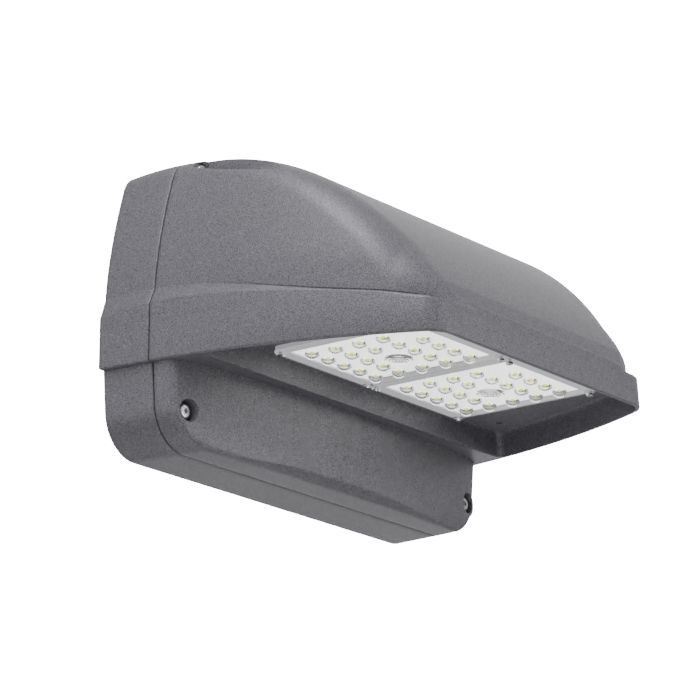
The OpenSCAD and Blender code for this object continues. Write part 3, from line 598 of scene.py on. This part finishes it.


# Strengths of painted light: emission on the board, plate, phosphor and gasket stands in for the studio light
# that the clear plate keeps from them
BOARD_PAINTED_GLOW = 2.2
ACRYLIC_IOR = 1.14
ACRYLIC_PAINTED_GLOW = 0.04
COAT = powder_coat("textured_polyester_powder", "#504f55", "#929198", 1.0, 0.46, 0.35)
RUBBER = moulded("moulded_silicone_rubber", "#242426", 0.7)
SCREW_STEEL = turned_steel("turned_stainless_steel", "#d6d6d8", 0.24)
CLIP_STEEL = turned_steel("spring_stainless_steel", "#b9b9bc", 0.3)
GREEN_STEEL = turned_steel("green_passivated_steel", "#3f9a55", 0.35)
ZINC_SHEET = rolled_sheet("galvanised_steel_sheet", "#b4b7ba", 0.38)
DRIVER_CASE = rolled_sheet("extruded_anodised_aluminium", "#cfd0d2", 0.36)
NYLON = moulded("moulded_nylon", "#dcd8cb", 0.45)
JACKET = moulded("extruded_pvc_jacket", "#efece4", 0.42)
PAD = moulded("filled_silicone_pad", "#8f9aa3", 0.75)
# The board, the diodes' phosphor and the lens gaskets carry painted glow: an emission that stands in for
# light, not a lamp
MASK_PAINTED_GLOW = painted_glow_satin("white_solder_mask_painted_glow", "#f6f7f7", 0.35, BOARD_PAINTED_GLOW)
ACRYLIC = clear_acrylic("moulded_optical_acrylic_painted_glow")
PHOSPHOR_PAINTED_GLOW = painted_glow_satin("phosphor_silicone_painted_glow", "#f0f000", 0.35, 1.1)
GREY_SILICONE_PAINTED_GLOW = painted_glow_satin("moulded_grey_silicone_painted_glow", "#b4b4b6", 0.55, 0.6)
PROBE = moulded("black_epoxy", "#1c1c20", 0.3)


def dress(obj, material, body, slot, *nodes):
    """Gives a piece its material and its body, and hides the nodes it stands for. The slot is not used."""
    obj.data.materials.clear()
    obj.data.materials.append(material)
    for polygon in obj.data.polygons:
        polygon.material_index = 0
    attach(obj, body)
    if nodes:
        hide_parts(*nodes)


# Castings

EDGE_R = 0.9
ROUND = [(EDGE_R * (1 - math.sin(math.radians(a))), EDGE_R * (1 - math.cos(math.radians(a))))
         for a in (0, 30, 60, 90)]


def seam_edge(d, side):
    """Steps that round a casting's outer edge at the seam; side is 1 for the casting beyond depth d."""
    steps = [(d + side * back, inset) for back, inset in ROUND]
    return steps[::-1] if side > 0 else steps


def back_skin():
    """The back box: over the outside, round the rim and its gasket groove, and back over the inside."""
    groove = 1.4
    groove_end = 3.8
    steps = [(0, EDGE_R), (EDGE_R * 0.3, EDGE_R * 0.3), (EDGE_R, 0)] + [(3 + 6 * i, 0) for i in range(7)]
    steps += seam_edge(REAR_FRONT, -1)
    steps += [(REAR_FRONT, groove), (REAR_FRONT - 2, groove), (REAR_FRONT - 2, groove_end),
              (REAR_FRONT, groove_end), (REAR_FRONT, RIM_W), (REAR_FRONT - RIM_W, RIM_W),
              (REAR_FRONT - RIM_W, WALL_T), (REAR_T, WALL_T)]
    return [rim_ring(d, inset) for d, inset in steps]


def front_skin():
    """The hood: from the inside's front wall over the inside, round the rim, and out over the outside."""
    hollow_end = HOOD_D - 14
    rings = [pan_ring(FLOOR_BACK + 0.2 + (hollow_end - FLOOR_BACK) * math.sin(math.radians(90 * i / 22)))
             for i in range(22, -1, -1)]
    rings.append(inner_ring(FLOOR_BACK, flat_side(plan_half(FLOOR_BACK, BAND_CORNER_D) - 12, WALL_T), WALL_T))
    rings.append(inner_ring(COVER_D - WALL_T + 0.2, flat_side(STEM_MIN - WALL_T, WALL_T), WALL_T))
    bows = [face_d(x) for x in range(int(FACE_EDGE_X) - 8, STEM_MIN, -12)] + [face_d(STEM_MIN)]
    rounds = [FACE_EDGE_D - COVER_EDGE_R * (1 - math.sin(math.radians(a))) for a in range(0, 91, 15)]
    for d in (rounds + bows)[::-1]:
        rings.append(inner_ring(d - WALL_T, low_side(d - WALL_T, WALL_T), WALL_T))
    rings += [rim_ring(HOOD_BACK + RIM_W / 2, WALL_T), rim_ring(HOOD_BACK + RIM_W / 2, RIM_W),
              rim_ring(HOOD_BACK, RIM_W)]
    rings += [rim_ring(d, inset) for d, inset in seam_edge(HOOD_BACK, 1)]
    for d in [50] + rounds + bows:
        rings.append(outer_ring(d, low_side(d, 0)))
    rings.append(outer_ring(COVER_D + 0.2, flat_side(STEM_MIN, 0)))
    rings += [outer_ring(CAVITY_D + s * 0.4, opening_side(CAVITY_D + s * 0.4, r)) for s, r in RISES]
    start, end, count = CAVITY_D + OPENING_R, OPENING_FRONT - RISES[-1][0], 48
    rings += [outer_ring(d, opening_side(d, 1)) for d in (95, 97)]
    for i in range(count + 1):
        d = start + (end - start) * math.sin(math.radians(90 * i / count)) ** 0.9
        rings.append(outer_ring(d, opening_side(d, 1)))
    rings += [outer_ring(OPENING_FRONT - s, opening_side(OPENING_FRONT - s, r)) for s, r in RISES[-2::-1]]
    for back, inset in ROUND[:3]:
        d = HOOD_D - back
        low = flat_side(plan_half(d, BAND_CORNER_D) - 6, inset)
        rings.append(upright(low + band_side(d, inset, inset, low[-1]) + hood_side(d, inset), d))
    low = flat_side(plan_half(HOOD_D, BAND_CORNER_D) - 6, EDGE_R)
    last = low + band_side(HOOD_D, EDGE_R, EDGE_R, low[-1]) + hood_side(HOOD_D, EDGE_R)
    rings.append(upright(last, HOOD_D))
    return rings


def trough(side, r, d0, length=TROUGH_L):
    """The groove over an upper cover screw, tilted down a little and open at the top."""
    tilt = Matrix.Rotation(math.radians(90 + TROUGH_TILT), 3, "X")
    arc = [(r * math.cos(a), r * math.sin(a)) for a in [math.pi * (1 + i / 24) for i in range(25)]]
    outline = [(x, z, 0) for x, z in arc + [(r, 3 * r), (-r, 3 * r)]]
    at = Vector((side * TOP_SCREW[0], -d0, TOP_SCREW[1]))
    rings = [[tuple(at + tilt @ (Vector(p) + Vector((0, 0, step)))) for p in outline] for step in (0, length)]
    return make_object("trough", *loft(rings))


def trough_walls(side):
    """Walls of a trough, trimmed to end inside the hood's skin."""
    walls = trough(side, RECESS_R + RECESS_WALL, SEAT - SEAT_T - 0.6)
    depths = [HOOD_BACK + 2 + 6 * i for i in range(27)]
    rings = [upright([(0, ledge_h(d))] + hood_side(d, WALL_T / 2), d) for d in depths]
    core = make_object("core", *loft(rings))
    carve(walls, core, "INTERSECT")
    return walls


def low_boss(side):
    """Wall of a lower screw's recess, cut off along the bowed face."""
    x, z = side * LOW_SCREW[0], LOW_SCREW[1]
    slope = 3 * COVER_BOW / LOW_SCREW[0]
    r = RECESS_R + RECESS_WALL
    end = face_d(LOW_SCREW[0]) - 1.5
    rings = [[(x + r * math.cos(a), -(SEAT - SEAT_T), z + r * math.sin(a)) for a in TURN],
             [(x + r * math.cos(a), side * slope * r * math.cos(a) - end, z + r * math.sin(a)) for a in TURN]]
    return make_object("boss", *loft(rings))


TURN = [2 * math.pi * i / 48 for i in range(48)]


def recess(side):
    """A lower screw's recess with a small flare at its mouth, which follows the bowed face."""
    x, z = side * LOW_SCREW[0], LOW_SCREW[1]
    rings = []
    for flare, back in ((0, None), (0, 1.0), (0.3, 0.35), (1.0, -0.05), (1.0, -6)):
        r = RECESS_R + flare
        ring = []
        for a in TURN:
            dx = r * math.cos(a)
            d = SEAT if back is None else face_d(abs(x + dx)) - back
            ring.append((x + dx, -d, z + r * math.sin(a)))
        rings.append(ring)
    return make_object("recess", *loft(rings))


def at_module(side, x, y, z):
    return (side * MODULE_PITCH / 2 + x, y - MODULE_D, z)


def build_hood():
    hood = make_object("hood_casting", *loft(front_skin()))
    for side in (-1, 1):
        carve(hood, trough_walls(side), "UNION")
        carve(hood, low_boss(side), "UNION")
    for side in (-1, 1):
        for d in TRAY_POSTS[1]:
            carve(hood, post(side * TRAY_POSTS[0], d, TRAY_POST_R, PAN_H + 1, TRAY_Z, 32), "UNION")
    fixings = [at_module(m, x, y, 0)[:2] for m in (-1, 1) for x in (-LENS_FIX[0], LENS_FIX[0])
               for y in (-LENS_FIX[1], LENS_FIX[1])]
    for x, y in fixings:
        carve(hood, post(x, -y, 4, PAN_H + 1, PAN_H + PAN_T + 4, 24), "UNION")
    hood.data.polygons.foreach_set("material_index", [0] * len(hood.data.polygons))
    for side in (-1, 1):
        carve(hood, rod(side * TOP_SCREW[0], TOP_SCREW[1], RECESS_R, SEAT, SEAT + 2.6))
        carve(hood, trough(side, RECESS_R - 0.1, SEAT + 1.5))
    soften_cuts(hood, 0.8, lambda p: p.y < -57 and p.z > 100)
    for side in (-1, 1):
        carve(hood, recess(side))
        carve(hood, rod(side * TOP_SCREW[0], TOP_SCREW[1], CLIP_POCKET_R, HOOD_BACK - 1, SEAT - SEAT_T))
        carve(hood, rod(side * TOP_SCREW[0], TOP_SCREW[1], SCREW_HOLE_R, HOOD_BACK, SEAT + 1))
        carve(hood, rod(side * LOW_SCREW[0], LOW_SCREW[1], SCREW_HOLE_R, HOOD_BACK, SEAT + 1))
        carve(hood, rod(side * LOW_SCREW[0], LOW_SCREW[1], CLIP_POCKET_R, HOOD_BACK - 1, SEAT - SEAT_T))
        lead_x = side * MODULE_PITCH / 2 + LED_PITCH[0] / 2
        carve(hood, post(lead_x, MODULE_D, LEAD_HOLE_R, PAN_H - 1, PAN_H + PAN_T + 1))
        carve(hood, post(side * DIMPLE[0], DIMPLE[1], DIMPLE[2], PAN_H - 1, PAN_H + 2, 24))
    carve(hood, join("holes", [post(x, -y, 1.55, PAN_H - 1, PAN_H + 6, 20) for x, y in fixings]))
    dress(hood, COAT, "housing", "casting", "front_housing")
    finish_mesh(hood, 34)


def build_back():
    back = make_object("back_casting", *loft(back_skin()))
    for side in (-1, 1):
        for x, z in (TOP_SCREW, LOW_SCREW):
            carve(back, rod(side * x, z, SCREW_BOSS_R, REAR_T - 1, REAR_FRONT), "UNION")
        carve(back, rod(BLOCK_AT[0] + side * BLOCK_STUD_X, BLOCK_AT[1], STUD_R, REAR_T - 1, 12, 32), "UNION")
    carve(back, rod(GROUND_AT[0], GROUND_AT[1], STUD_R, REAR_T - 1, 12, 32), "UNION")
    for side in (-1, 1):
        for x, z in (TOP_SCREW, LOW_SCREW):
            carve(back, rod(side * x, z, SCREW_R + 0.05, REAR_T + 1, REAR_FRONT + 1))
        carve(back, rod(side * BOX_SCREW[0], BOX_SCREW[1], BOX_SCREW_R, -1, REAR_T + 1, 32))
        for z in WALL_SCREWS[1]:
            carve(back, rod(side * WALL_SCREWS[0], z, WALL_SCREW_R, -1, REAR_T + 1, 32))
    carve(back, rod(*WIRE_HOLE, -1, REAR_T + 1))
    carve(back, wall_ring(-1, 2))
    dress(back, COAT, "wall_box", "casting", "back_box")
    finish_mesh(back, 34)


def rounded_outline(w, l, r, n=8):
    """Corners of a rounded rectangle, as (x, y)."""
    points = []
    for q, (sx, sy) in enumerate(((1, 1), (-1, 1), (-1, -1), (1, -1))):
        for i in range(n + 1):
            a = math.radians(90 * q + 90 * i / n)
            points.append((sx * (w / 2 - r) + r * math.cos(a), sy * (l / 2 - r) + r * math.sin(a)))
    return points


def ring_solid(name, outer, inner, place):
    """A flat ring between two outlines with the same number of points; place maps (x, y, level) to 3-D."""
    levels = (0, 1)
    verts = [place(x, y, level) for outline in (outer, inner) for level in levels for x, y in outline]
    n = len(outer)
    faces = []
    for i in range(n):
        j = (i + 1) % n
        o0, o1, i0, i1 = 0, n, 2 * n, 3 * n
        faces += [(o0 + i, o0 + j, o1 + j, o1 + i), (i0 + j, i0 + i, i1 + i, i1 + j),
                  (o0 + j, o0 + i, i0 + i, i0 + j), (o1 + i, o1 + j, i1 + j, i1 + i)]
    return make_object(name, verts, faces)


def wall_ring(d0, d1):
    return ring_solid("wall_ring", rounded_outline(130, 104, 14, 4), rounded_outline(112, 85.6, 9, 4),
                      lambda x, y, level: (x, -(d0 if level == 0 else d1), 32 + y))


build_back()
build_hood()

# Light modules

def led_places():
    """Diode places about the module's middle: a grid, less two for the lead's cover and one by a corner."""
    return [((i - 2) * LED_PITCH[0], (2 - j) * LED_PITCH[1]) for i in range(5) for j in range(5)
            if not (j == 2 and i in (2, 3)) and not (i == 0 and j == 4)]


def dome_profile(r, h, n=10):
    """Profile of a cap of sphere that stands h below the plate, from rim to tip."""
    rim = math.acos((r - h) / r)
    angles = [rim * (1 - i / n) for i in range(n + 1)]
    return [(r * math.sin(a), r * math.cos(a) - (r - h)) for a in angles]


def build_lens(side, label):
    """One clear plate with hollow domes and caps, corner bosses and the ringed cover over the lead."""
    def levels(w, l, r, zs):
        return [[at_module(side, x, y, z) for x, y in rounded_outline(w + 2 * grow, l + 2 * grow, r + grow)]
                for grow, z in zs]

    def down(name, profile, x, y, z, steps=32):
        return turned(name, profile, at_module(side, x, y, z), (0, 0, -1), steps)

    steps = [(0, PLATE_TOP), (0, PLATE_LOW + 0.5), (-0.5, PLATE_LOW)]
    plate = make_object("lens_" + label, *loft(levels(LENS_W, LENS_L, PLATE_CORNER_R, steps)))
    corners = [(x, y) for x in (-LENS_FIX[0], LENS_FIX[0]) for y in (-LENS_FIX[1], LENS_FIX[1])]
    outer = [(DOME_EDGE, -0.3)] + dome_profile(DOME_R, DOME_H)[:-1] + [(0.05, DOME_H)]
    carve(plate, join("domes", [down("dome", outer, x, y, PLATE_LOW, 36) for x, y in led_places()]), "UNION")
    cap = [(CAP_R, -0.3), (CAP_R, CAP_H - 0.4), (CAP_R - 0.4, CAP_H)]
    carve(plate, join("caps", [down("cap", cap, x + CAP_X, y, PLATE_LOW) for x, y in led_places()]), "UNION")
    boss = [(4, -0.4), (4, 0.9), (3.5, 1.3), (2.4, 1.3)]
    carve(plate, join("bosses", [down("boss", boss, x, y, PLATE_LOW) for x, y in corners]), "UNION")
    rings = [(LEAD_COVER_R, -0.5), (LEAD_COVER_R, 1.6), (LEAD_COVER_R - 0.6, 2.2)]
    for r in COVER_RINGS:
        rings += [(r, 2.4), (r - 0.7, 1.9), (r - 1.5, 1.9)]
    carve(plate, down("cover", rings + [(0.6, 2.4)], LED_PITCH[0] / 2, 0, PLATE_LOW, 48), "UNION")
    hollow = [(HOLLOW_R, -0.2)]
    for a in range(9, 90, 9):
        hollow.append((HOLLOW_R * math.cos(math.radians(a)), HOLLOW_R * math.sin(math.radians(a))))
    hollow.append((0.05, HOLLOW_R))
    carve(plate, join("hollows", [down("hollow", hollow, x, y, PLATE_TOP, 30) for x, y in led_places()]))
    pocket = [(CAP_HOLLOW_R, -0.2), (CAP_HOLLOW_R, PLATE_T + CAP_H - DOME_WALL)]
    carve(plate, join("pockets", [down("pocket", pocket, x + CAP_X, y, PLATE_TOP, 24)
                                  for x, y in led_places()]))
    hole = [(1.7, -5), (1.7, 4)]
    carve(plate, join("holes", [down("hole", hole, x, y, PLATE_LOW, 24) for x, y in corners]))
    dress(plate, ACRYLIC, "housing", "optic", "lens_" + label)
    finish_mesh(plate, 30)


def build_leds(side, label):
    """Diodes: a square face and a small dome of yellow silicone, and the small part soldered beside each."""
    diodes, parts = [], []
    square = [(LED_HALF, LED_HALF), (-LED_HALF, LED_HALF), (-LED_HALF, -LED_HALF), (LED_HALF, -LED_HALF)]
    dome = [(LED_DOME_R, -0.2), (LED_DOME_R, LED_NECK)]
    dome += [(r, LED_NECK + z) for r, z in dome_profile(LED_DOME_R, LED_DOME_R)[1:-1]]
    dome.append((0.05, LED_NECK + LED_DOME_R))
    for x, y in led_places():
        base = [at_module(side, x + u, y + v, LED_LOW) for u, v in square]
        diodes.append(straight("base", base, (0, 0, 0), (0, 0, 0.9)))
        diodes.append(turned("dome", dome, at_module(side, x, y, LED_LOW), (0, 0, -1), 20))
        parts.append(turned("part", BOARD_PART, at_module(side, x + CAP_X, y, BOARD_LOW), (0, 0, -1), 20))
    diode, part = join("diodes_" + label, diodes), join("resistors_" + label, parts)
    # The diodes' phosphor carries a painted glow: an emission, though the diodes are not lit
    dress(diode, PHOSPHOR_PAINTED_GLOW, "housing", "diode", "leds_" + label)
    dress(part, PROBE, "housing", "diode")
    finish_mesh(diode)
    finish_mesh(part)


for side, label in ((-1, "left"), (1, "right")):
    build_lens(side, label)
    build_leds(side, label)

# CAD solids that are shown as they are
FINISHES = {
    "wall_gasket": RUBBER, "wire_grommet": RUBBER, "seam_gasket": RUBBER, "lead_grommets": RUBBER,
    # The lens gaskets and the boards take a painted glow: emission that stands in for the light the clear
    # plate keeps from them
    "lens_gasket_left": GREY_SILICONE_PAINTED_GLOW, "lens_gasket_right": GREY_SILICONE_PAINTED_GLOW, "ground_screw": GREEN_STEEL,
    "terminal_block": NYLON, "supply_plug": NYLON, "terminal_screws": SCREW_STEEL, "tray_screws": SCREW_STEEL,
    "driver_screws": SCREW_STEEL, "lens_screws": SCREW_STEEL, "driver_tray": ZINC_SHEET,
    "led_driver": DRIVER_CASE, "supply_lead": JACKET, "output_lead_left": JACKET, "output_lead_right": JACKET,
    "thermal_pad_left": PAD, "thermal_pad_right": PAD, "led_board_left": MASK_PAINTED_GLOW, "led_board_right": MASK_PAINTED_GLOW,
}
for corner in ("top_left", "top_right", "low_left", "low_right"):
    FINISHES["cover_screw_" + corner] = SCREW_STEEL
    FINISHES["screw_clip_" + corner] = CLIP_STEEL
for node, material in FINISHES.items():
    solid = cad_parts[node]
    solid.data.materials.clear()
    solid.data.materials.append(material)

# Floor, light and camera

def add_floor():
    half, z = 1200, -1500
    corners = [(-half, -half, z), (half, -half, z), (half, half, z), (-half, half, z)]
    floor = make_object("floor", corners, [(0, 1, 2, 3)])
    floor.data.materials.append(moulded("matt_paper_floor", "#f4f4f4", 0.9))


def add_area(name, place, size, power):
    """A square softbox that faces the light."""
    lamp = bpy.data.lights.new(name, "AREA")
    lamp.size = size
    lamp.energy = power
    obj = bpy.data.objects.new(name, lamp)
    bpy.context.scene.collection.objects.link(obj)
    obj.location = place
    aim = Vector((0, -0.13, 0.05)) - Vector(place)
    obj.rotation_euler = aim.to_track_quat("-Z", "Y").to_euler()


def add_world():
    """White paper behind the light. What falls on it is a soft sky and, from behind, a bright backdrop."""
    world = bpy.data.worlds.new("white_studio")
    world.use_nodes = True
    world.node_tree.nodes.clear()
    way = add_node(world, "ShaderNodeTexCoord")
    height = add_node(world, "ShaderNodeSeparateXYZ", links={"Vector": (way, "Generated")})
    sky = add_node(world, "ShaderNodeMapRange", {"interpolation_type": "SMOOTHSTEP"},
                   {"From Min": -0.5, "From Max": 1.0, "To Min": SKY_LOW, "To Max": SKY_HIGH},
                   {"Value": (height, "Z")})
    near = add_node(world, "ShaderNodeVectorMath", {"operation": "DOT_PRODUCT"},
                    links={0: (way, "Generated")})
    near.inputs[1].default_value = BACKDROP_WAY
    backdrop = add_node(world, "ShaderNodeMapRange", {"interpolation_type": "SMOOTHSTEP"},
                        {"From Min": BACKDROP_EDGE[0], "From Max": BACKDROP_EDGE[1], "To Min": 0.0,
                         "To Max": BACKDROP_LIGHT}, {"Value": (near, "Value")})
    total = add_node(world, "ShaderNodeMath", {"operation": "ADD"},
                     links={0: (sky, "Result"), 1: (backdrop, "Result")})
    soft = add_node(world, "ShaderNodeBackground", links={"Strength": (total, "Value")})
    paper = add_node(world, "ShaderNodeBackground", inputs={"Strength": PAPER_WHITE})
    for background in (soft, paper):
        background.inputs["Color"].default_value = (1, 1, 1, 1)
    ray = add_node(world, "ShaderNodeLightPath")
    both = add_node(world, "ShaderNodeMixShader", links={"Fac": (ray, "Is Camera Ray")})
    for i, background in enumerate((soft, paper)):
        world.node_tree.links.new(background.outputs["Background"], both.inputs[i + 1])
    add_node(world, "ShaderNodeOutputWorld", links={"Surface": (both, "Shader")})
    bpy.context.scene.world = world


def add_camera():
    """The camera of the photograph, found from its outlines; angles in degrees, offsets in pixels."""
    yaw, pitch, roll = math.radians(-52.148), math.radians(-16.533), math.radians(0.297)
    focal_px, image_px, sensor = 3697.1, 700, 36
    scale = 0.78844
    shift_x, shift_y = -82.314, 77.04
    back = Vector((math.sin(yaw) * math.cos(pitch), -math.cos(yaw) * math.cos(pitch), math.sin(pitch)))
    forward = -back
    right = forward.cross(Vector((0, 0, 1))).normalized()
    up = right.cross(forward)
    image_right = math.cos(roll) * right + math.sin(roll) * up
    image_up = -math.sin(roll) * right + math.cos(roll) * up
    camera = bpy.data.cameras.new("photograph")
    camera.sensor_width = sensor
    camera.lens = focal_px / image_px * sensor
    camera.clip_end = 50
    obj = bpy.data.objects.new("photograph", camera)
    bpy.context.scene.collection.objects.link(obj)
    place = -(shift_x * image_right - shift_y * image_up + focal_px * forward) * scale * MM
    turn = Matrix((image_right, image_up, -forward)).transposed().to_4x4()
    obj.matrix_world = Matrix.Translation(place) @ turn
    bpy.context.scene.camera = obj


SKY_LOW = 0.25
SKY_HIGH = 0.6
PAPER_WHITE = 20
BACKDROP_WAY = (0.757, 0.588, 0.285)
BACKDROP_EDGE = (0.75, 0.95)
BACKDROP_LIGHT = 1.4

add_floor()
add_world()
add_area("overhead_softbox", (-0.75, -0.5, 1.45), 0.9, 16)
add_area("front_softbox", (0.9, -1.9, 0.2), 1.0, 12)
add_area("left_softbox", (-1.5, -0.4, 1.2), 1.0, 9.5)
add_area("low_softbox", (-1.5, -0.8, -0.8), 1.0, 3)
add_area("wall_side_softbox", (-1.5, 0.5, 0.0), 0.8, 2.5)
add_camera()
